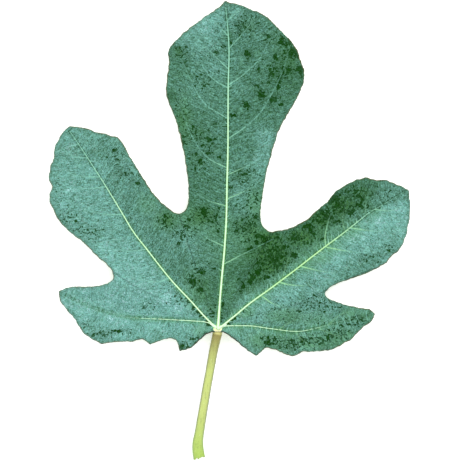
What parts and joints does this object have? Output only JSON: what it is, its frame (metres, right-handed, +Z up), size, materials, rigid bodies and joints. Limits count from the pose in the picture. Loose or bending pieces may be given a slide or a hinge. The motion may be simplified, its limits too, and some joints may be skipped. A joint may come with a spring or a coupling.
{
  "type": "fig leaf",
  "caption": "Fresh lobed fig leaf lying face up, with waved blade, raised ribs and net on its underside, and a round stalk with a cut end.",
  "frame": {"origin": "on the surface that the leaf lies on, under the middle of its box", "axes": "+Y from the stalk's cut end toward the middle lobe's tip, +X to the right seen from above, +Z up out of the leaf's upper face"},
  "size_m": [0.1804, 0.2292, 0.0122],
  "materials": {
    "leaf_green": "satin",
    "stalk_green": "satin"
  },
  "bodies": {
    "root": {"leaf_blade": "leaf_green", "petiole": "stalk_green"}
  },
  "joints": []
}
